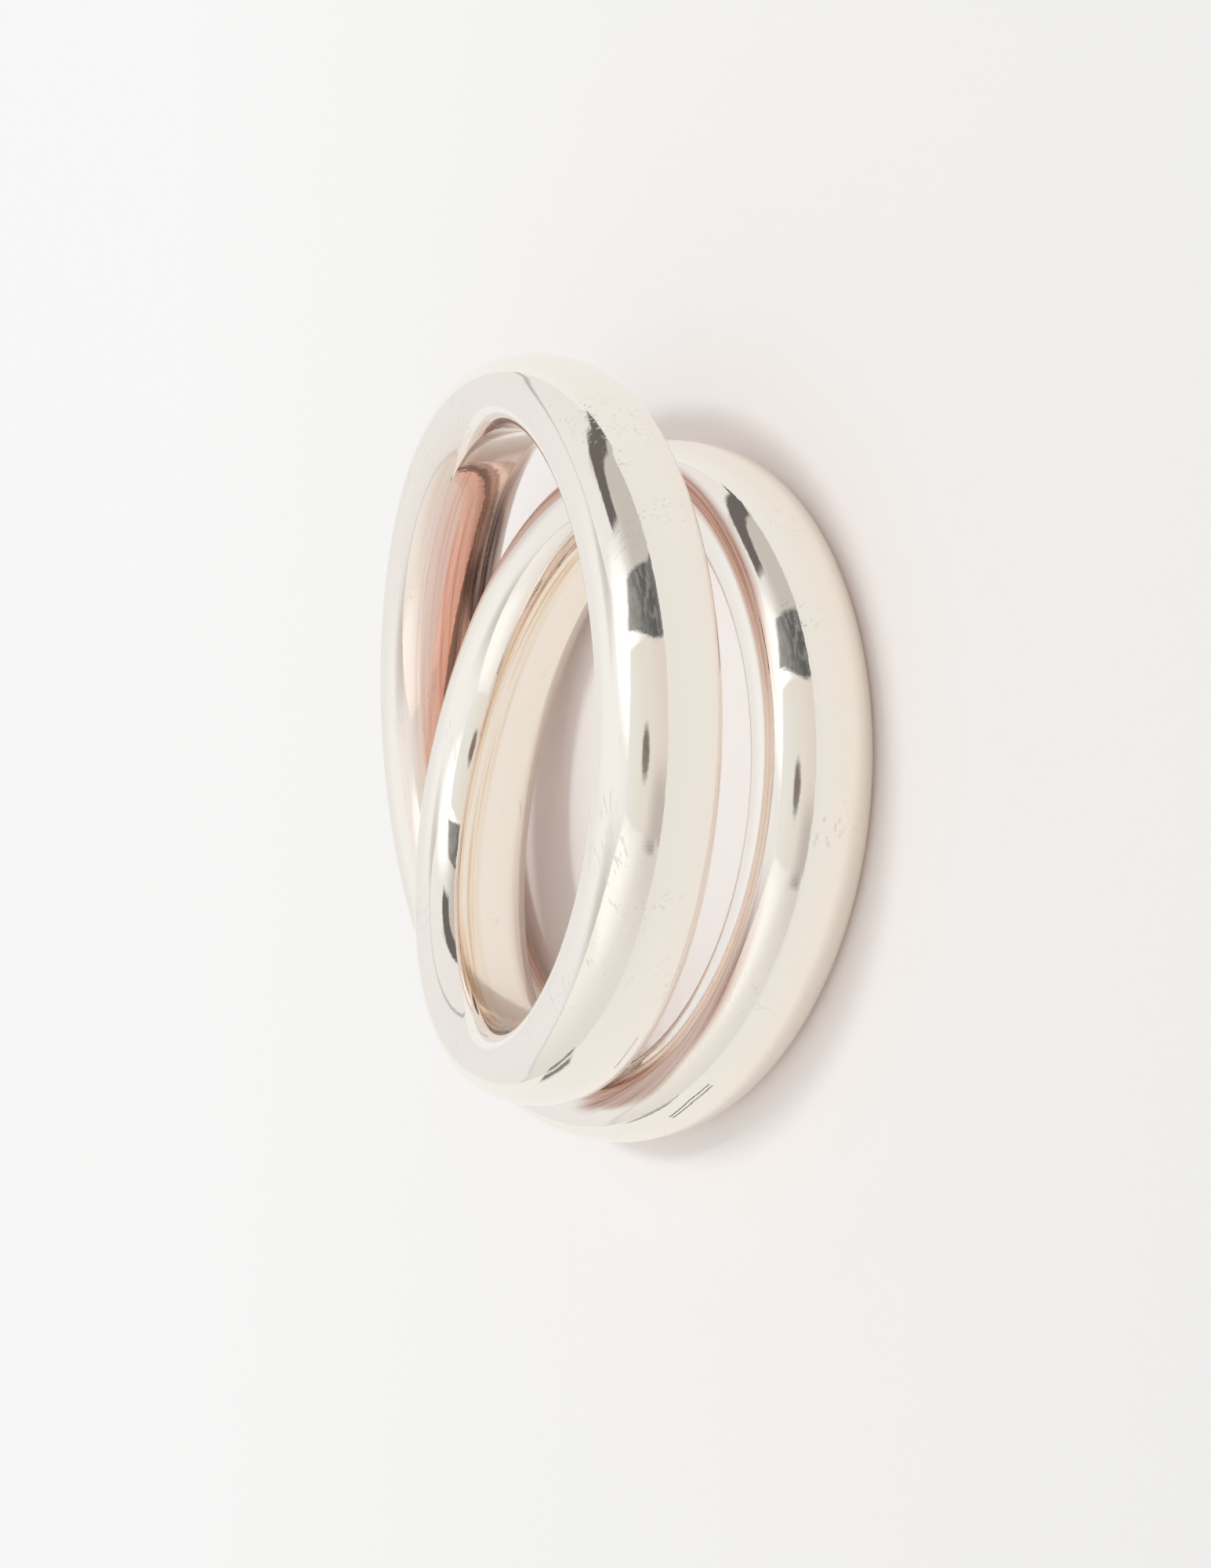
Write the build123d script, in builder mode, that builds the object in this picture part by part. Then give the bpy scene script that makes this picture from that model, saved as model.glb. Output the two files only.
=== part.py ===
from build123d import *
from math import acos, atan, cos, degrees, radians, sin, sqrt
import os

# A heavy ring made of one closed band that is wound twice round the finger.
# The two strands lie side by side in front and pass over each other once, behind.
# The ring lies on its side: +Z is up and close to the finger's axis, and the two
# strands stand side by side on the -Y side. Lengths are in millimetres.
os.makedirs("parts", exist_ok=True)

# Driving dimensions of the band and of the hole inside each of its two rounds
loop_bore = 19.76
band_width = 4.22
band_thickness = 2.55
crown_share = 0.52
finger_face_share = 0.506

# How far apart the strands lie: in front along the finger, behind where they pass
strand_spacing = 6.27
strand_clearance = 0.14
over_share = 0.672
bypass_share = 0.087

# Hand-made unevenness: the hole is a little oval, the band sways and leans
oval_rise = 0.297
sway_rise = 0.123
lean_middle = 3.2
lean_swing = 3.98
tip_share = 0.382
tip_side = 0.23

# Turns, in degrees along the band. They run twice round the finger, from 0 to 720:
# 0 and 360 are on the +X side, 90 and 450 behind, 270 and 630 in front.
crossing_turn = 93.75
over_turn = 50
bypass_turn = 110
oval_turn = -48
sway_turn = -3.5
lean_turn = 482

# The band is lofted in four half turns, each through this many equal steps
half_turns = 4
steps_in_half_turn = 8

# The section: a domed crown outside, a flat finger face and rounded shoulders
crown_rise = band_thickness * crown_share
shoulder_drop = band_thickness - crown_rise
shoulder_radius = shoulder_drop / sqrt(1 - finger_face_share**2)
shoulder_arc = degrees(acos(finger_face_share))
face_edge = band_width / 2 * finger_face_share

# The course of the band's middle
mid_radius = loop_bore / 2 + shoulder_drop
strand_pitch = band_thickness + strand_clearance
half_spacing = strand_spacing / 2

# The ring tips back until its far side rests too
tip_back = degrees(atan(tip_share * half_spacing / mid_radius))
ring_plane = Plane.XY.rotated((-tip_back, -tip_side, 0))


def outward(turn):
    """The direction away from the finger's axis at a turn."""
    return ring_plane.x_dir * cos(radians(turn)) + ring_plane.y_dir * sin(radians(turn))


def middle_of_band(turn):
    """The middle of the band at a turn.

    Its distance from the axis is the mid radius, plus a swing that repeats after
    two rounds and carries one strand over the other, plus a quicker swing that
    opens the pass, plus the oval. Its height along the axis swings once in two
    rounds too, from one strand to the other, and sways twice a round.
    """
    over = strand_pitch * over_share * cos(radians(turn - over_turn) / 2)
    bypass = strand_pitch * bypass_share * cos(radians(turn - bypass_turn) * 1.5)
    oval = oval_rise * cos(radians(turn - oval_turn) * 2)
    sway = sway_rise * cos(radians(turn - sway_turn) * 2)
    height = half_spacing * sin(radians(crossing_turn - turn) / 2) + sway
    return outward(turn) * (mid_radius + over + bypass + oval) + ring_plane.z_dir * height


def section_plane(turn):
    """The plane square to the band, with x along the finger and y outwards.

    The section leans by a middle angle and a swing that repeats after two rounds.
    """
    lean = radians(lean_middle + lean_swing * cos(radians(turn - lean_turn) / 2))
    small_turn = 0.01
    ahead = middle_of_band(turn + small_turn)
    course = (ahead - middle_of_band(turn - small_turn)).normalized()
    upright = ring_plane.z_dir * cos(lean) - outward(turn) * sin(lean)
    width_direction = upright - course * upright.dot(course)
    return Plane(origin=middle_of_band(turn), x_dir=width_direction, z_dir=course)


with BuildPart() as wound_band:
    for half_turn in range(half_turns):
        for step in range(steps_in_half_turn + 1):
            turn = 180 * (half_turn + step / steps_in_half_turn)
            with BuildSketch(section_plane(turn)):
                with BuildLine():
                    EllipticalCenterArc((0, 0), band_width / 2, crown_rise, start_angle=0, arc_size=180)
                    EllipticalCenterArc(
                        (0, 0), band_width / 2, shoulder_radius, start_angle=180, arc_size=shoulder_arc
                    )
                    Line((-face_edge, -shoulder_drop), (face_edge, -shoulder_drop))
                    EllipticalCenterArc(
                        (0, 0), band_width / 2, shoulder_radius, start_angle=-shoulder_arc, arc_size=shoulder_arc
                    )
                make_face()
        loft()

# The finished ring stands on z = 0, with its middle over the origin
lying = wound_band.part.bounding_box()
with BuildPart() as double_loop_band:
    with Locations((-lying.center().X, -lying.center().Y, -lying.min.Z)):
        add(wound_band.part)

double_loop_band.part.label = "double_loop_band"
export_step(double_loop_band.part, "parts/double_loop_band.step")
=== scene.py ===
import bpy
import numpy as np
from mathutils import Matrix, Vector


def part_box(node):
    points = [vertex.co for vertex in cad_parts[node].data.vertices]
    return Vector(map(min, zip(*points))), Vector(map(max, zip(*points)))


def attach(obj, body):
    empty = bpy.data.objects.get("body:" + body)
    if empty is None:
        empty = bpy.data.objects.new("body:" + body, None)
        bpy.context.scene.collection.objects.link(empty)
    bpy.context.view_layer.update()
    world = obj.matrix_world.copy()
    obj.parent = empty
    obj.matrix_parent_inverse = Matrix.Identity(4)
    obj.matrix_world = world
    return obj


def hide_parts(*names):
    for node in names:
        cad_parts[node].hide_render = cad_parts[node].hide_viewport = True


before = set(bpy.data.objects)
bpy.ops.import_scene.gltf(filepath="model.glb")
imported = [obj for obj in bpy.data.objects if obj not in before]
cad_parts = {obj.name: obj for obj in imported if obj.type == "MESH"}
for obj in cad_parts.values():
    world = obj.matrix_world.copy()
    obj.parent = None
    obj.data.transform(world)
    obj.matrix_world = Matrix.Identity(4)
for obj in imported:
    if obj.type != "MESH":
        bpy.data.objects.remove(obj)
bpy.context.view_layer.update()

# The band
# One closed silver band, wound twice round the finger: cast in one piece, filed to a
# dome outside with a flat face towards the finger, then polished to a mirror.

loop_bore = 0.01976
band_width = 0.00422
band_thickness = 0.00255
crown_share = 0.52
crown_rise = band_thickness * crown_share
shoulder_drop = band_thickness - crown_rise
finger_face_share = 0.506
shoulder_radius = shoulder_drop / np.sqrt(1 - finger_face_share**2)
face_edge = band_width / 2 * finger_face_share
face_slope = np.radians(4)

strand_spacing = 0.00627
strand_clearance = 0.00014
strand_pitch = band_thickness + strand_clearance
mid_radius = loop_bore / 2 + shoulder_drop

# how far the band swings in and out, up and down, and how far its section leans, with
# the turn in degrees at which each swing is largest
over_share, over_turn = 0.672, 50
bypass_share, bypass_turn = 0.087, 110
oval_rise, oval_turn = 0.000297, -48
sway_rise, sway_turn = 0.000123, -3.5
lean_middle, lean_swing, lean_turn = 3.2, 3.98, 482
crossing_turn = 93.75

# the ring rests tipped back, and a very little aside
tip_share = 0.382
tip_back = np.arctan(tip_share * strand_spacing / 2 / mid_radius)
tip_side = np.radians(0.23)

two_rounds = 720
sections_along_band = 960
points_round_section = 100
outline_steps = 4000
small_turn = 0.01


def swing(turn, from_turn, speed):
    """A swing between 1 and -1: the cosine of the turn past from_turn, times the speed."""
    return np.cos(np.radians(turn - from_turn) * speed)


def ring_axes():
    """The ring's own directions: upright ones, tipped back about X and then aside about Y."""
    side_share = np.sin(tip_side)
    across = (np.cos(tip_side), np.sin(tip_back) * side_share, np.cos(tip_back) * side_share)
    behind = (0, np.cos(tip_back), -np.sin(tip_back))
    return np.array(across), np.array(behind), np.cross(across, behind)


def outward(turn):
    """The direction away from the finger's axis at each turn: cosine across, sine behind."""
    across, behind, _ = ring_axes()
    angle = np.radians(turn)[:, None]
    return across * np.cos(angle) + behind * np.sin(angle)


def middle_of_band(turn):
    """The band's middle at each turn, which runs from 0 to 720 degrees.

    Its distance from the axis is the mid radius, a half-speed swing that carries one
    strand over the other, a quicker one that opens the pass, and the oval. Its height
    swings at half speed from one strand to the other and sways twice a round.
    """
    over = strand_pitch * over_share * swing(turn, over_turn, 0.5)
    bypass = strand_pitch * bypass_share * swing(turn, bypass_turn, 1.5)
    long_way = oval_rise * swing(turn, oval_turn, 2)
    sway = sway_rise * swing(turn, sway_turn, 2)
    height = strand_spacing / 2 * np.sin(np.radians(crossing_turn - turn) / 2) + sway
    radius = mid_radius + over + bypass + long_way
    return outward(turn) * radius[:, None] + ring_axes()[2] * height[:, None]


def unit(vectors):
    """Each vector divided by its own length."""
    return vectors / np.linalg.norm(vectors, axis=-1, keepdims=True)


def section_outline():
    """The section's angle, width and rise at points spread evenly by length and by turning.

    It starts on top of the crown, which is half an ellipse. The shoulders below it are the
    sides of a deeper one, up to the edges of the finger face. The face is a flat arch: from
    its edges it falls by a bulge times one less the square of the share of its half width.
    """
    angle = np.linspace(0.5 * np.pi, 2.5 * np.pi, outline_steps + 1)
    side = band_width / 2 * np.cos(angle)
    shoulder = shoulder_radius * np.sin(angle)
    bulge = np.tan(face_slope) * face_edge / 2
    across_face = np.minimum(np.abs(side) / face_edge, 1)
    face = -shoulder_drop - bulge * (1 - across_face**2)
    on_face = (np.sin(angle) < 0) & (across_face < 1)
    edge = np.where(on_face, face, shoulder)
    up = np.where(np.sin(angle) > 0, crown_rise * np.sin(angle), edge)
    step = np.diff(side) + 1j * np.diff(up)
    turning = np.abs(np.angle(step[1:] / step[:-1]))
    travel = np.abs(step) / np.abs(step).sum() + np.append(turning, turning[-1]) / turning.sum()
    spread = np.concatenate([[0], np.cumsum(travel)]) / travel.sum()
    at = np.linspace(0, 1, points_round_section, endpoint=False)
    return tuple(np.interp(at, spread, values) for values in (angle, side, up))


def band_surface(turn):
    """Points of the band: its middle, plus the section's side and rise at each turn.

    The side lies along an upright direction that leans and is then made square to the
    course. The rise lies along the cross product of the two, on the outward side.
    """
    course = unit(middle_of_band(turn + small_turn) - middle_of_band(turn - small_turn))
    lean = np.radians(lean_middle + lean_swing * swing(turn, lean_turn, 0.5))[:, None]
    upright = ring_axes()[2] * np.cos(lean) - outward(turn) * np.sin(lean)
    width = unit(upright - course * (upright * course).sum(-1, keepdims=True))
    thickness = np.cross(course, width)
    thickness *= np.sign((thickness * outward(turn)).sum(-1, keepdims=True))
    angle, side, up = section_outline()
    points = side[None, :, None] * width[:, None] + up[None, :, None] * thickness[:, None]
    return middle_of_band(turn)[:, None] + points, angle


def ring_mesh(name, points, angle, low, high):
    """A closed tube from a grid of points, set so that its box has the middle of low and high.

    The grid wraps both ways. The map has the share of the band's length in its first
    number, and in its second the section's angle from the crown's top as a share of a turn.
    """
    long, round_ = points.shape[:2]
    flat = points.reshape(-1, 3)
    own_low, own_high = flat.min(0), flat.max(0)
    flat = flat + (np.array(low) + np.array(high) - own_low - own_high) / 2
    row, column = np.meshgrid(np.arange(long), np.arange(round_), indexing="ij")
    rows = row.reshape(-1, 1) + np.array([0, 1, 1, 0])
    columns = column.reshape(-1, 1) + np.array([0, 0, 1, 1])
    corners = (rows % long) * round_ + columns % round_
    mesh = bpy.data.meshes.new(name)
    mesh.from_pydata(flat, [], corners)
    shares = np.append(angle / (2 * np.pi) - 0.25, 1)
    uv = np.stack([rows / long, shares[columns]], -1).astype(np.float32)
    mesh.uv_layers.new(name="along_and_round").data.foreach_set("uv", uv.ravel())
    mesh.polygons.foreach_set("use_smooth", np.ones(len(corners), bool))
    mesh.update()
    return mesh


turns = np.arange(sections_along_band) * two_rounds / sections_along_band
band_points, section_angles = band_surface(turns)
band_mesh = ring_mesh("polished_band", band_points, section_angles, *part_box("double_loop_band"))
band = bpy.data.objects.new("polished_band", band_mesh)
bpy.context.scene.collection.objects.link(band)

# What a cloth doesn't reach has tarnished rose, nearly black and duller. Copper between the
# strands and a gold strip on a finger face are painted warm shade and a painted warm
# reflection of light mirrored between the strands. Each colour is the share of the light that
# it lets through. The places are in degrees, of the turn along the band and of the angle round
# the section. Two numbers are where an edge starts and ends. Three are two edges and how far
# they are softened. An oval is its middle and half size.
rose_stain = (0.88, 0.68, 0.63)
rose_start, rose_end, rose_top = (-5, 35), (112, 135), (-98, -12)
# painted warm shade of light mirrored back and forth in the hollow between the strands
copper_painted_shade = (0.76, 0.59, 0.54)
copper_start, copper_end, copper_top = (15, 35), (166, 178), (-126, -110)
inner_foot = (-185, -168)
dark_stain = (0.20, 0.14, 0.135)
dark_oval, dark_edge = ((58, -122), (29, 19)), (0.55, 1.15)
wave_rise, wave_speed = 3, 0.3
dull_stain = (0.80, 0.71, 0.68)
dull_turns, dull_angles = (15, 75, 10), (-172, -142, 8)

# painted warm shade of light mirrored back and forth between the lower near strand and the upper
# one
line_painted_shade = (0.69, 0.52, 0.48)
deep_line_painted_shade = (0.60, 0.44, 0.39)
line_turns, line_middle_share = (180, 355, 6), 0.15
line_angle, line_drop, drop_start, drop_length, drop_power = 34, 41, 300, 115, 5
first_line_end = (174, 188), (225, 255)
second_line_end = (272, 308), (348, 358)
low_end_turns = (195, 214)
line_edge, low_end_widening = (5, 14), (7, 12)

# painted warm reflection of the upper near strand's inner face
gold_painted_reflection = (0.90, 0.80, 0.68)
gold_turns, gold_angles = (362, 540, 12), (-80, -57, 5)
end_stain = (0.76, 0.65, 0.64)
end_oval, end_edge = ((388, 22), (28, 30)), (0.5, 1.1)
lower_side_stain = (0.76, 0.66, 0.64)
lower_side_start, lower_side_end = (455, 510), (535, 552)
lower_side_angles = (-172, -122, 10)
least_streaks = 0.25


def rise(value, low, high):
    """0 below low, 1 above high, and a smooth cubic rise between them."""
    share = np.clip((value - low) / (high - low), 0, 1)
    return share * share * (3 - 2 * share)


def fall(value, low, high):
    """1 below low and 0 above high."""
    return 1 - rise(value, low, high)


def between(value, low, high, soft):
    """1 from low to high and 0 outside, with smooth edges that reach soft to each side."""
    return rise(value, low - soft, low + soft) * fall(value, high - soft, high + soft)


def oval(across, up, middle, half_size):
    """How far out from an oval's middle each place is, as a share: 1 on its edge."""
    return np.hypot((across - middle[0]) / half_size[0], (up - middle[1]) / half_size[1])


def painted(under, colour, mask):
    """Colour laid over what is under it where the mask is 1."""
    return under + (np.asarray(colour) - under) * mask[..., None]


def tarnish_and_shade_colours(turn, angle):
    """The share of each colour that the tarnish and the painted warm shade let through, and how
    streaky it is.

    The angle goes round the section in degrees: 90 on the crown, 0 on the upper side,
    -90 on the finger face and -180 on the lower side. The stains lie where the strands
    face each other and a polishing cloth doesn't reach. The copper and gold there are
    painted warm shade and a painted warm reflection of light mirrored between the strands.
    """
    stain_and_shade = np.ones((*turn.shape, 3))

    # rose on the inner side of the far strand, copper of painted warm shade below it, between the
    # strands, and a dark patch in that
    above_foot = rise(angle, *inner_foot)
    rose = rise(turn, *rose_start) * fall(turn, *rose_end) * fall(angle, *rose_top) * above_foot
    stain_and_shade = painted(stain_and_shade, rose_stain, rose)
    copper_shade = rise(turn, *copper_start) * fall(turn, *copper_end)
    copper_shade = copper_shade * fall(angle, *copper_top) * above_foot
    stain_and_shade = painted(stain_and_shade, copper_painted_shade, copper_shade)
    wavy_angle = angle + wave_rise * np.sin(turn * wave_speed)
    dark = fall(oval(turn, wavy_angle, *dark_oval), *dark_edge)
    stain_and_shade = painted(stain_and_shade, dark_stain, dark)
    dull = between(turn, *dull_turns) * between(angle, *dull_angles)
    stain_and_shade = painted(stain_and_shade, dull_stain, dull)

    # a copper line of painted warm shade on the lower near strand, where light mirrored between
    # it
    # and the upper strand falls: strongest towards its two ends, and lower on the section and
    # wider at the first of them
    drop = line_drop * np.clip((drop_start - turn) / drop_length, 0, 1) ** drop_power
    low_end = fall(turn, *low_end_turns)
    line_start, line_stop = (
        edge + wider * low_end for edge, wider in zip(line_edge, low_end_widening)
    )
    near_line_shade = fall(np.abs(angle - (line_angle - drop)), line_start, line_stop)
    line_ends = sum(
        rise(turn, *start) * fall(turn, *end) for start, end in (first_line_end, second_line_end)
    )
    strength = line_middle_share + (1 - line_middle_share) * line_ends
    near_line_shade = near_line_shade * strength * between(turn, *line_turns)
    stain_and_shade = painted(stain_and_shade, line_painted_shade, near_line_shade)
    stain_and_shade = painted(stain_and_shade, deep_line_painted_shade, near_line_shade * low_end)

    # the upper strand behind: its two ends, and a gold strip along its finger face, a painted
    # warm reflection of the upper near strand's inner face
    gold_reflection = between(turn, *gold_turns) * between(angle, *gold_angles)
    stain_and_shade = painted(stain_and_shade, gold_painted_reflection, gold_reflection)
    stain_and_shade = painted(stain_and_shade, end_stain, fall(oval(turn, angle, *end_oval), *end_edge))
    lower_side = rise(turn, *lower_side_start) * fall(turn, *lower_side_end)
    stain_and_shade = painted(stain_and_shade, lower_side_stain, lower_side * between(angle, *lower_side_angles))
    return np.concatenate([stain_and_shade, np.maximum(least_streaks, gold_reflection)[..., None]], -1)


all_turns, all_angles = np.meshgrid(turns, np.degrees(section_angles) % 360, indexing="ij")
all_angles = np.where(all_angles > 180, all_angles - 360, all_angles)
stain_and_shade = tarnish_and_shade_colours(all_turns, all_angles)
stain_and_shade_share = band_mesh.color_attributes.new("tarnish_and_shade", "FLOAT_COLOR", "POINT")
stain_and_shade_share.data.foreach_set("color", stain_and_shade.astype(np.float32).ravel())

# The finish is one mirror polish with a faint hand-worked unevenness and fine hairlines.
# Light that has been in the silver before comes out of it warmer, and the tarnish and the
# painted warm shade count for less in it. Sizes are in metres, and in shares of the map for the
# streaks.
silver_seen_first = (0.945, 0.90, 0.82)
silver_seen_later = (0.90, 0.82, 0.78)
silver_warming_table_shade = (0.98, 0.83, 0.74)
later_tarnish = 0.45
streak_size, streak_stretch = 0.016, (6, 1, 1)
gap_edges, gap_cover = (0.6, 0.4), 0.15
deep_streak_edges, deep_streak_cover = (0.5, 0.68), 0.9
worn_patch_size, worn_patch_edges = 0.003, (0.53, 0.66)
hairline_size, hairline_stretch, hairline_peaks = 0.00007, (14, 1, 3), (0.71, 0.79)
hairline_turns = (0.3, 0.2, 0.5), (1.1, 0.6, -0.4), (-0.5, 1.3, 0.9)
hairline_colour, hairline_share = (0.66, 0.63, 0.60), 0.4
polished_roughness, worn_roughness, hairline_roughness = 0.028, 0.06, 0.3
unevenness_size, unevenness_depth, unevenness_share = 0.0005, 0.000006, 0.5
no_glow, trapped_glow, trapped_mirrorings = (0.0, 0.0, 0.0), (0.096, 0.085, 0.078), (0.5, 2.5)

silver = bpy.data.materials.new("polished_silver")
silver.use_nodes = True
tree = silver.node_tree
nodes, links = tree.nodes, tree.links
mirror = nodes["Principled BSDF"]
mirror.inputs["Metallic"].default_value = 1


def stepped(tree, value, low, high, at_low=0, at_high=1):
    """A node's smooth change from at_low, where the value is low, to at_high at high."""
    node = tree.nodes.new("ShaderNodeMapRange")
    node.interpolation_type = "SMOOTHSTEP"
    tree.links.new(value, node.inputs["Value"])
    for socket, number in zip(list(node.inputs)[1:5], (low, high, at_low, at_high)):
        socket.default_value = number
    return node.outputs["Result"]


def times(tree, first, second):
    """A node's product of two numbers or outputs."""
    node = tree.nodes.new("ShaderNodeMath")
    node.operation = "MULTIPLY"
    for socket, value in zip(node.inputs, (first, second)):
        if isinstance(value, (int, float)):
            socket.default_value = value
        else:
            tree.links.new(value, socket)
    return node.outputs[0]


def layered(tree, under, over, mask, blend="MIX"):
    """A node's colour over what is under it, where the mask is 1."""
    node = tree.nodes.new("ShaderNodeMix")
    node.data_type = "RGBA"
    node.blend_type = blend
    for socket, value in (("A", under), ("B", over), ("Factor", mask)):
        if isinstance(value, tuple):
            node.inputs[socket].default_value = (*value, 1)
        elif isinstance(value, (int, float)):
            node.inputs[socket].default_value = value
        else:
            tree.links.new(value, node.inputs[socket])
    return node.outputs["Result"]


def cloudy_grain_group():
    """A node group: a noise at a place that is turned, and then scaled along each axis."""
    group = bpy.data.node_groups.new("cloudy_grain", "ShaderNodeTree")
    for name in ("Place", "Turned", "Scale"):
        group.interface.new_socket(name, in_out="INPUT", socket_type="NodeSocketVector")
    group.interface.new_socket("Detail", in_out="INPUT", socket_type="NodeSocketFloat")
    group.interface.new_socket("Mask", in_out="OUTPUT", socket_type="NodeSocketFloat")
    inside, outside = group.nodes.new("NodeGroupInput"), group.nodes.new("NodeGroupOutput")
    mapping = group.nodes.new("ShaderNodeMapping")
    noise = group.nodes.new("ShaderNodeTexNoise")
    noise.inputs["Scale"].default_value = 1
    for name, socket in (("Place", "Vector"), ("Turned", "Rotation"), ("Scale", "Scale")):
        group.links.new(inside.outputs[name], mapping.inputs[socket])
    group.links.new(mapping.outputs["Vector"], noise.inputs["Vector"])
    group.links.new(inside.outputs["Detail"], noise.inputs["Detail"])
    group.links.new(noise.outputs["Fac"], outside.inputs["Mask"])
    return group


cloudy_grain = cloudy_grain_group()


def grain(tree, place, size, stretch=(1, 1, 1), turned=(0, 0, 0), detail=2):
    """The cloudy grain with patches of a size, stretched along turned axes."""
    node = tree.nodes.new("ShaderNodeGroup")
    node.node_tree = cloudy_grain
    tree.links.new(place, node.inputs["Place"])
    node.inputs["Turned"].default_value = turned
    node.inputs["Scale"].default_value = [1 / (size * share) for share in stretch]
    node.inputs["Detail"].default_value = detail
    return node.outputs["Mask"]


along_and_round = nodes.new("ShaderNodeUVMap")
along_and_round.uv_map = "along_and_round"
on_band = along_and_round.outputs["UV"]
in_space = nodes.new("ShaderNodeTexCoord").outputs["Object"]

path = nodes.new("ShaderNodeLightPath")
seen_first = path.outputs["Is Camera Ray"]
clean = layered(tree, silver_seen_later, silver_seen_first, seen_first)
# light that the silver mirrors onto the table comes out warmer still: a painted warm tint in the
# table's shade near the ring
clean = layered(tree, clean, silver_warming_table_shade, path.outputs["Is Diffuse Ray"])

# the tarnish and the painted warm shade lie over it twice: with gaps along the band, and once
# more in its streaks
tarnish_and_shade = nodes.new("ShaderNodeAttribute")
tarnish_and_shade.attribute_name = "tarnish_and_shade"
tarnish_and_shade_count = stepped(tree, seen_first, 0, 1, later_tarnish, 1)
streaks = grain(tree, on_band, streak_size, streak_stretch, detail=4)
gaps = times(tree, stepped(tree, streaks, *gap_edges), tarnish_and_shade.outputs["Alpha"])
cover = times(tree, stepped(tree, gaps, 0, 1, 1, gap_cover), tarnish_and_shade_count)
silver_colour = layered(tree, clean, tarnish_and_shade.outputs["Color"], cover, "MULTIPLY")
deeper = stepped(tree, streaks, *deep_streak_edges, 0, deep_streak_cover)
deeper = times(tree, deeper, tarnish_and_shade_count)
silver_colour = layered(tree, silver_colour, tarnish_and_shade.outputs["Color"], deeper, "MULTIPLY")

# hairlines in three directions, each a long thin noise cut to its peaks, in worn patches
worn = stepped(tree, grain(tree, in_space, worn_patch_size), *worn_patch_edges)
hairlines = None
for turned in hairline_turns:
    lines = grain(tree, in_space, hairline_size, hairline_stretch, turned, 0)
    lines = stepped(tree, lines, *hairline_peaks)
    hairlines = lines if hairlines is None else layered(tree, hairlines, lines, 1.0, "LIGHTEN")
hairlines = times(tree, hairlines, worn)
pale_lines = times(tree, hairlines, hairline_share)
silver_colour = layered(tree, silver_colour, hairline_colour, pale_lines)
links.new(silver_colour, mirror.inputs["Base Color"])
roughness = layered(tree, (polished_roughness,) * 3, (worn_roughness,) * 3, worn)
roughness = layered(tree, roughness, (hairline_roughness,) * 3, hairlines)
links.new(roughness, mirror.inputs["Roughness"])

# light that is trapped between the strands is taken as an even warm glow, which comes in
# over the first mirrorings and is too faint to be sampled as a lamp
trapped = stepped(tree, path.outputs["Glossy Depth"], *trapped_mirrorings)
glow_colour = layered(tree, no_glow, trapped_glow, trapped)
links.new(glow_colour, mirror.inputs["Emission Color"])
mirror.inputs["Emission Strength"].default_value = 1
silver.cycles.emission_sampling = "NONE"

uneven = nodes.new("ShaderNodeBump")
uneven.inputs["Strength"].default_value = unevenness_share
uneven.inputs["Distance"].default_value = unevenness_depth
links.new(grain(tree, in_space, unevenness_size, detail=3), uneven.inputs["Height"])
links.new(uneven.outputs["Normal"], mirror.inputs["Normal"])
band.data.materials.append(silver)

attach(band, "root")
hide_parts("double_loop_band")

# The table
# The ring lies on a plain pale table top, a flat sheet of matt paper. Its colour holds a painted
# falloff of the light, which makes it a little darker towards the near side.

floor_half = 0.6
floor_near, floor_far = -0.04, 0.04
paper_near_painted_shade, paper_far = (0.85, 0.843, 0.83), (0.93, 0.93, 0.93)

floor_mesh = bpy.data.meshes.new("table_top")
floor_corners = np.array([(-1, -1, 0), (1, -1, 0), (1, 1, 0), (-1, 1, 0)]) * floor_half
floor_mesh.from_pydata(floor_corners, [], [(0, 1, 2, 3)])
floor = bpy.data.objects.new("table_top", floor_mesh)
bpy.context.scene.collection.objects.link(floor)

paper = bpy.data.materials.new("pale_paper")
paper.use_nodes = True
tree = paper.node_tree
nodes, links = tree.nodes, tree.links
paper_finish = nodes["Principled BSDF"]
paper_finish.inputs["Roughness"].default_value = 1
paper_finish.inputs["Specular IOR Level"].default_value = 0
place = nodes.new("ShaderNodeSeparateXYZ")
links.new(nodes.new("ShaderNodeTexCoord").outputs["Object"], place.inputs[0])
far_share = nodes.new("ShaderNodeMapRange")
far_share.inputs["From Min"].default_value = floor_near
far_share.inputs["From Max"].default_value = floor_far
links.new(place.outputs["Y"], far_share.inputs["Value"])
# painted falloff of the light: the paper's colour darkens towards the near side
paper_painted_falloff = layered(tree, paper_near_painted_shade, paper_far, far_share.outputs["Result"])
links.new(paper_painted_falloff, paper_finish.inputs["Base Color"])
floor_mesh.materials.append(paper)

# The tent
# A soft white tent round the table, seen by the silver alone, with a few dark things in
# it. The silver throws its light onto the table, where it counts for more.

tent_radius = 4
thrown_light = 1.9
look_height = 0.0088
cloth_height = 0.0002
least_slope = 1e-6
columns_round = 720
rows_up = np.radians(np.concatenate([np.arange(-9, 60, 0.6), np.arange(60, 91, 3)]))

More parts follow.
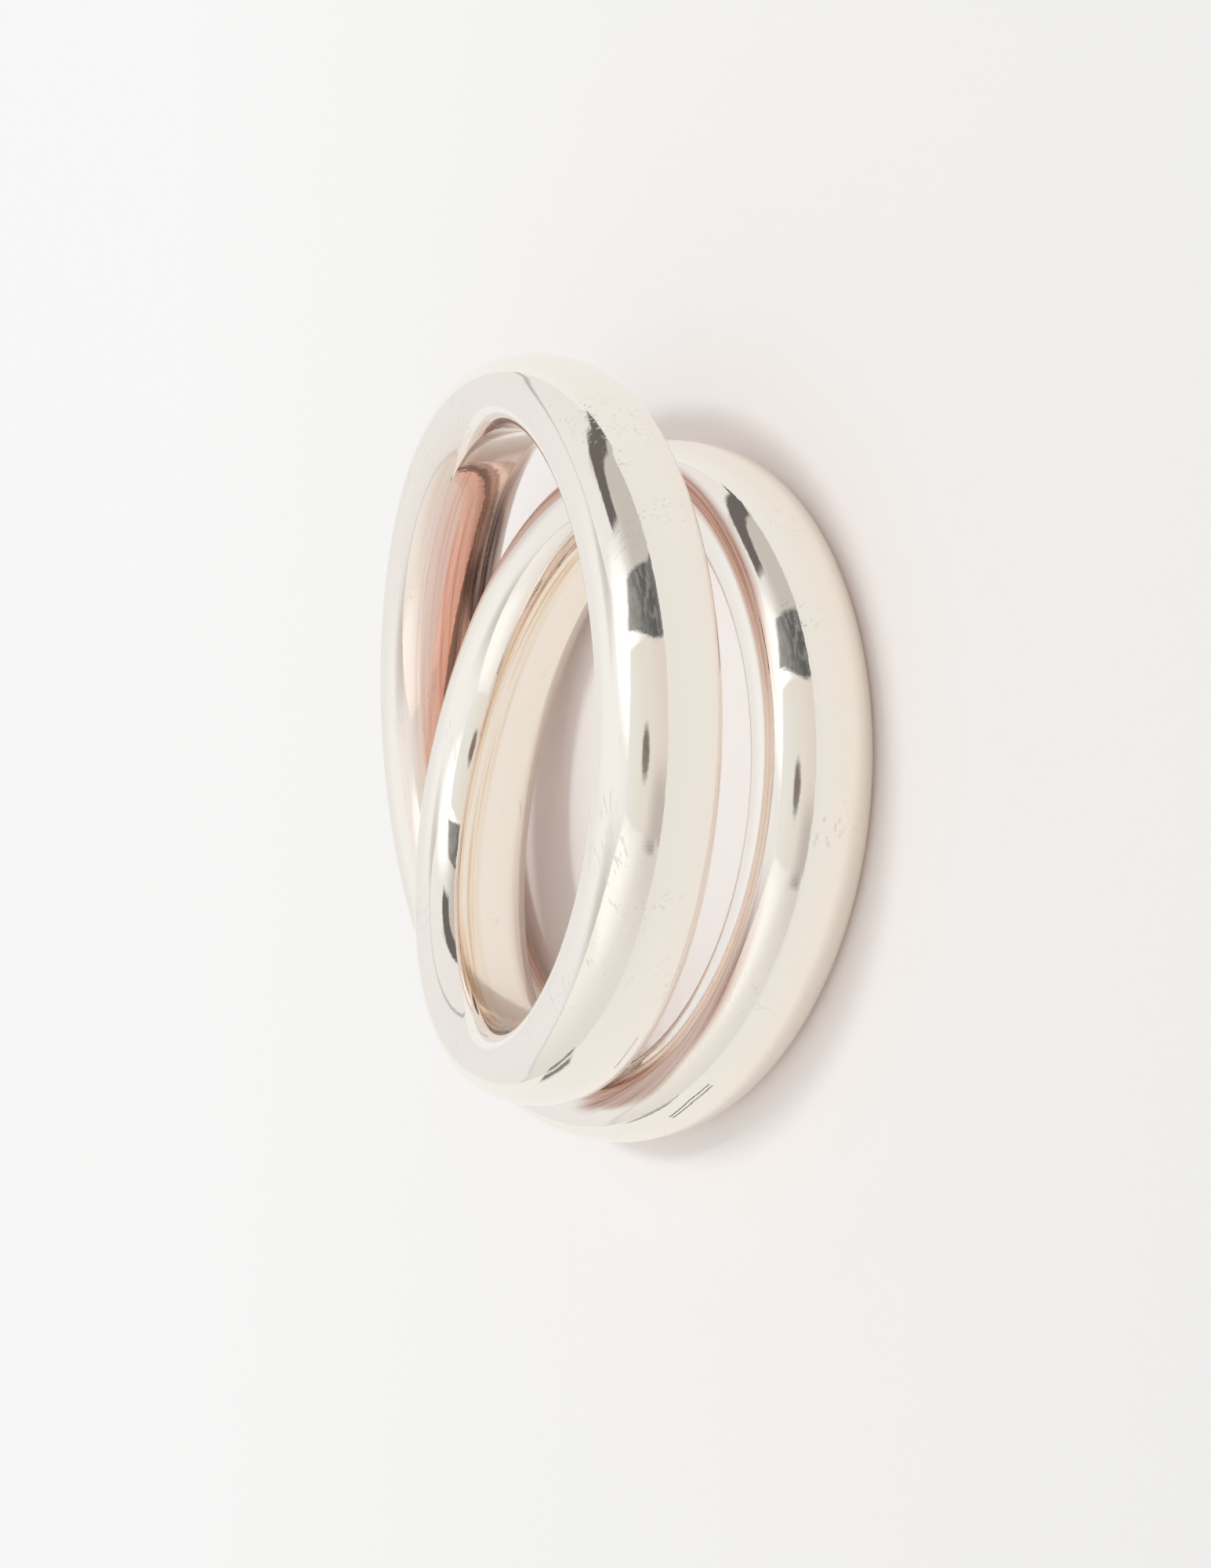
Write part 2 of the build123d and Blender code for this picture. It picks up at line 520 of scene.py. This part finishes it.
# Its cloths from the table up are pairs of an angle and the light there. The places are in
# degrees, of the way round and up, and they are given as those of the tarnish are.
plain_cloth = [(0, (0.86, 0.85, 0.87)), (35, (0.88, 0.88, 0.90)), (70, (0.95, 0.96, 0.98))]
right_cloth = [(0, (0.80, 0.78, 0.76)), (40, (0.95, 0.94, 0.93))]
right_seam_oval, right_seam_edge = ((244, -10), (71, 61)), (0.985, 1.0)
right_wall_start = (208, 214)
right_corner, right_corner_way, right_corner_up = (0.72, 0.68, 0.66), (213, 250), (0, 24)
right_glow, right_glow_way, right_glow_up = (1.08, 1.08, 1.08), (216, 262, 9), (16, 40)
right_glow_edge = (0.975, 1.0)
right_shade_light, right_shade_edge = (0.64, 0.61, 0.60), (1.0, 1.45)
right_shade_start, right_shade_end = (212, 262), (268, 300)
right_line_light, right_line_edges = (0.64, 0.63, 0.64), (0.98, 1.01, 0.02)
right_line_start, right_line_share = (262, 285), 0.7
left_seam_oval, left_seam_edge = ((112, -10), (73, 67)), (0.985, 1.005)
left_shade_light, left_shade_edge = (0.66, 0.64, 0.63), (1.0, 1.5)
left_shade_start, left_shade_end = (62, 86), (95, 132)
left_line_light, left_line_edges = (0.42, 0.42, 0.43), (0.975, 1.015, 0.02)
left_line_end, left_line_up, left_line_least, left_line_share = (66, 84), (10, 34), 0.4, 0.8
overhead_light, overhead_oval, overhead_edge = (1.3, 1.3, 1.3), ((150, 46), (36, 21)), (0.6, 1.3)
front_cloth = [(0, (0.78, 0.72, 0.68)), (20, (0.815, 0.795, 0.75)), (45, (0.85, 0.86, 0.85))]
front_way, front_foot_up = (152, 212, 1.2), (18, 22)
arch_oval, arch_edge = ((184, 20), (48, 29)), (0.93, 1.03)
front_corner, front_corner_way, front_corner_up = (0.57, 0.52, 0.50), (184, 200), (2, 20)

# the things that stand or hang in it
recess_light, recess_way, recess_up = (0.60, 0.57, 0.55), (84, 131, 1.5), (13, 30)
flag_tint, flag_foot_light, flag_lightening = np.array([1, 0.99, 0.98]), 0.13, 0.22
flag_start, flag_end, flag_lean, lean_from = (128.5, 130.5), (152.5, 154), 0.25, 8
flag_top, flag_top_slope, slope_from, flag_light_up = (25, 33), 0.75, 130, (8, 38)
boom_light, boom_end = (0.16, 0.145, 0.14), (108, 114)
boom_inside, boom_inner_edge = ((112, 0), (21.5, 18.8)), (0.95, 1.05)
boom_outside, boom_outer_edge = ((112, 0), (33.5, 29.8)), (0.96, 1.04)
lens_light, lens_oval, lens_edge = (0.23, 0.20, 0.18), ((187, 22.6), (9.3, 5.4)), (0.55, 1.2)
stand_light, stand_way = (0.26, 0.24, 0.24), (212, 216.2, 1.3)
stand_up, stand_fading = (1, 21, 3), (4, 18)
bar_light, bar_way = (0.24, 0.24, 0.23), (286, 301, 1)
upper_bar, lower_bar = (-3.4, -1.6, 0.5), (-7.8, -5.2, 0.5)
patch_light, patch_size, patch_edges = (0.46, 0.47, 0.49), 0.3, (0.42, 0.66)
patch_share, lens_patch_share = 0.4, 0.5

# the cloth ends about 4 degrees down, but reaches in farther below the boom and at the bars
cloth_end = -3.9
foot_end, foot_way = -7, (78, 96)
bar_cloth_way = (284, 302)


def blended(value, stops):
    """A colour that changes smoothly through stops, which are pairs of a value and a colour."""
    colour = np.ones((*value.shape, 3)) * stops[0][1]
    for (low, _), (high, upper) in zip(stops, stops[1:]):
        colour = painted(colour, upper, rise(value, low, high))
    return colour


def tent_colours(way, up):
    """The light of the tent's walls, by the way round (180 is the camera's side) and up.

    The last number is 1 where the dark things have paler patches.
    """
    walls = blended(up, plain_cloth)

    # side wall at the right under its seam, with a corner that darkens near the table
    right_seam = oval(way, up, *right_seam_oval)
    under_seam = fall(right_seam, *right_seam_edge)
    corner = fall(way, *right_corner_way) * fall(up, *right_corner_up)
    right_wall = painted(blended(up, right_cloth), right_corner, corner)
    walls = painted(walls, right_wall, under_seam * rise(way, *right_wall_start))
    glow = between(way, *right_glow_way) * rise(up, *right_glow_up)
    walls = painted(walls, right_glow, glow * fall(right_seam, *right_glow_edge))

    # the seams of the two side walls, each with a shade above it
    right_shade = (1 - under_seam) * fall(right_seam, *right_shade_edge)
    right_shade = right_shade * rise(way, *right_shade_start) * fall(way, *right_shade_end)
    walls = painted(walls, right_shade_light, right_shade)
    right_line = between(right_seam, *right_line_edges) * rise(way, *right_line_start)
    walls = painted(walls, right_line_light, right_line * right_line_share)
    left_seam = oval(way, up, *left_seam_oval)
    left_shade = rise(left_seam, *left_seam_edge) * fall(left_seam, *left_shade_edge)
    left_shade = left_shade * rise(way, *left_shade_start) * fall(way, *left_shade_end)
    walls = painted(walls, left_shade_light, left_shade)
    left_line = between(left_seam, *left_line_edges) * fall(way, *left_line_end)
    left_line = left_line * (left_line_least + (1 - left_line_least) * fall(up, *left_line_up))
    walls = painted(walls, left_line_light, left_line * left_line_share)

    # the bright light overhead
    overhead = fall(oval(way, up, *overhead_oval), *overhead_edge)
    walls = painted(walls, overhead_light, overhead)

    # the cream front wall, with an arched top and a dim corner
    arch = fall(oval(way, up, *arch_oval), *arch_edge)
    front = np.maximum(arch, fall(up, *front_foot_up)) * between(way, *front_way)
    corner = rise(way, *front_corner_way) * fall(up, *front_corner_up)
    front_wall = painted(blended(up, front_cloth), front_corner, corner)
    walls = painted(walls, front_wall, front)

    # a grey recess, a tall dark flag with a sloping top, and a boom that curves over
    recess = between(way, *recess_way) * fall(up, *recess_up)
    walls = painted(walls, recess_light, recess)
    leaning_way = way + np.maximum(up - lean_from, 0) * flag_lean
    flag = rise(way, *flag_start) * fall(leaning_way, *flag_end)
    flag = flag * fall(up - (way - slope_from) * flag_top_slope, *flag_top)
    flag_light = flag_foot_light + flag_lightening * rise(up, *flag_light_up)
    walls = painted(walls, flag_tint * flag_light[..., None], flag)
    boom = rise(oval(way, up, *boom_inside), *boom_inner_edge)
    boom = boom * fall(oval(way, up, *boom_outside), *boom_outer_edge) * fall(way, *boom_end)
    walls = painted(walls, boom_light, boom)

    # the lens, a thin stand with a scratchy edge from two crossed sine waves, and a pair of
    # bars low at the right
    lens = fall(oval(way, up, *lens_oval), *lens_edge)
    walls = painted(walls, lens_light, lens)
    scratchy = 0.6 + 0.4 * np.sin(way * 4.1 + up * 1.7) * np.sin(up * 2.3 - way * 1.3)
    stand = between(way, *stand_way) * between(up, *stand_up) * scratchy
    walls = painted(walls, stand_light, stand * fall(up, *stand_fading))
    bars = between(up, *upper_bar) + between(up, *lower_bar)
    walls = painted(walls, bar_light, bars * between(way, *bar_way))
    return np.concatenate([walls, np.maximum(flag, lens * lens_patch_share)[..., None]], -1)


def mirrored_only(piece):
    """Links a piece of the stage that the silver's mirrored rays meet, and no others do."""
    bpy.context.scene.collection.objects.link(piece)
    piece.visible_camera = False
    piece.visible_diffuse = False
    piece.visible_shadow = False


# A row at or above 0 degrees lies on a dome of the tent's radius. A row below it lies on the
# table, where a look from the height of the upper strand at that angle meets it.
way_round = np.arange(columns_round + 1) * 2 * np.pi / columns_round
up, way = np.meshgrid(rows_up, way_round, indexing="ij")
light_colours = tent_colours(np.degrees(way), np.degrees(up))
reach = np.minimum(look_height / np.tan(np.maximum(-up, least_slope)), tent_radius)
away = np.where(up < 0, reach, tent_radius * np.cos(up))
height = np.where(up < 0, cloth_height, tent_radius * np.sin(up) + cloth_height)
tent_points = np.stack([np.sin(way) * away, np.cos(way) * away, height], -1)
row, column = np.meshgrid(np.arange(len(rows_up) - 1), np.arange(columns_round), indexing="ij")
first = (row * (columns_round + 1) + column).reshape(-1, 1)
tent_corners = first + np.array([0, 1, columns_round + 2, columns_round + 1])

down, side = np.degrees(up[:-1, :-1]).reshape(-1), np.degrees(way[:-1, :-1]).reshape(-1)
at_foot = (down > foot_end) & (side > foot_way[0]) & (side < foot_way[1])
at_bars = (side > bar_cloth_way[0]) & (side < bar_cloth_way[1])
tent_corners = tent_corners[(down > cloth_end) | at_foot | at_bars]
tent_mesh = bpy.data.meshes.new("soft_tent")
tent_mesh.from_pydata(tent_points.reshape(-1, 3), [], tent_corners)
wall_light = tent_mesh.color_attributes.new("wall_light", "FLOAT_COLOR", "POINT")
wall_light.data.foreach_set("color", light_colours.astype(np.float32).ravel())
soft_tent = bpy.data.objects.new("soft_tent", tent_mesh)
mirrored_only(soft_tent)

lit_cloth = bpy.data.materials.new("lit_cloth")
lit_cloth.use_nodes = True
tree = lit_cloth.node_tree
nodes, links = tree.nodes, tree.links
nodes.remove(nodes["Principled BSDF"])
wall_colour = nodes.new("ShaderNodeAttribute")
wall_colour.attribute_name = "wall_light"
cloth_glow = nodes.new("ShaderNodeEmission")
tent_place = nodes.new("ShaderNodeTexCoord").outputs["Object"]
patches = grain(tree, tent_place, patch_size, detail=4)
patches = stepped(tree, patches, *patch_edges, 0, patch_share)
patches = times(tree, patches, wall_colour.outputs["Alpha"])
cloth_colour = layered(tree, wall_colour.outputs["Color"], patch_light, patches)
links.new(cloth_colour, cloth_glow.inputs["Color"])
thrown = nodes.new("ShaderNodeLightPath").outputs["Diffuse Depth"]
links.new(stepped(tree, thrown, 0, 1, 1, thrown_light), cloth_glow.inputs["Strength"])
links.new(cloth_glow.outputs[0], nodes["Material Output"].inputs["Surface"])
lit_cloth.cycles.emission_sampling = "NONE"
tent_mesh.materials.append(lit_cloth)

# The low bars
# Two more thin bars hang beside the ring, where only the lower near strand mirrors them.
# Each is a strip through three points, its middles, given in metres.

bar_middles = np.array([
    [(-0.01477, -0.00293, 0.00208), (-0.01439, -0.00473, 0.00231), (-0.01393, -0.00620, 0.00216)],
    [(-0.01476, -0.00288, 0.00181), (-0.01440, -0.00463, 0.00195), (-0.01394, -0.00611, 0.00181)],
])
bar_half = 0.00006

bar_edges = np.array([(0, 0, -bar_half), (0, 0, bar_half)])
bar_points = (bar_middles[:, None] + bar_edges[None, :, None]).reshape(-1, 3)
bar_corners = np.array([0, 1, 6, 7])[:, None] + np.array([0, 1, 4, 3])
bar_mesh = bpy.data.meshes.new("low_bars")
bar_mesh.from_pydata(bar_points, [], bar_corners)
bar_colours = np.tile(np.float32([*bar_light, 0]), len(bar_points))
bar_attribute = bar_mesh.color_attributes.new("wall_light", "FLOAT_COLOR", "POINT")
bar_attribute.data.foreach_set("color", bar_colours)
bar_mesh.materials.append(lit_cloth)
low_bars = bpy.data.objects.new("low_bars", bar_mesh)
mirrored_only(low_bars)

# The lights
# A soft lamp stands high above the ring's +X side, where only the table sees it. The open
# sky lights the table evenly from all round.

lamp_place = (0.29, -0.085, 1.16)
lamp_size, lamp_power = 0.2, 3.0
sky_light = (0.80, 0.80, 0.795, 1)

lamp = bpy.data.objects.new("soft_lamp", bpy.data.lights.new("soft_lamp", "AREA"))
bpy.context.scene.collection.objects.link(lamp)
lamp.data.shape = "DISK"
lamp.data.size = lamp_size
lamp.data.energy = lamp_power
lamp.location = lamp_place
lamp.rotation_euler = Vector(lamp_place).to_track_quat("Z", "Y").to_euler()
lamp.visible_camera = False
lamp.visible_glossy = False
sky = bpy.data.worlds.new("open_sky")
bpy.context.scene.world = sky
sky.use_nodes = True
sky.node_tree.nodes["Background"].inputs["Color"].default_value = sky_light

# The camera
# It looks down on the ring at about 31 degrees from the near side, and is rolled a quarter
# turn, so that the ring's far side is at the left and its +X side is on top.

camera_place = (0.000952, -0.143016, 0.08989)
looks_along = np.array([-0.012215, 0.854681, -0.51901])
picture_up = np.array([0.999687, 0.021774, 0.01233])
lens_length = 111.36
sensor_side = 36
nearest_seen = 0.01

camera = bpy.data.objects.new("camera", bpy.data.cameras.new("camera"))
bpy.context.scene.collection.objects.link(camera)
picture_right = np.cross(looks_along, picture_up)
camera_axes = np.stack([picture_right, picture_up, -looks_along], 1)
camera.matrix_world = Matrix.Translation(camera_place) @ Matrix(camera_axes.tolist()).to_4x4()
camera.data.sensor_width = sensor_side
camera.data.lens = lens_length
camera.data.clip_start = nearest_seen
bpy.context.scene.camera = camera
bpy.context.scene.view_settings.view_transform = "Standard"
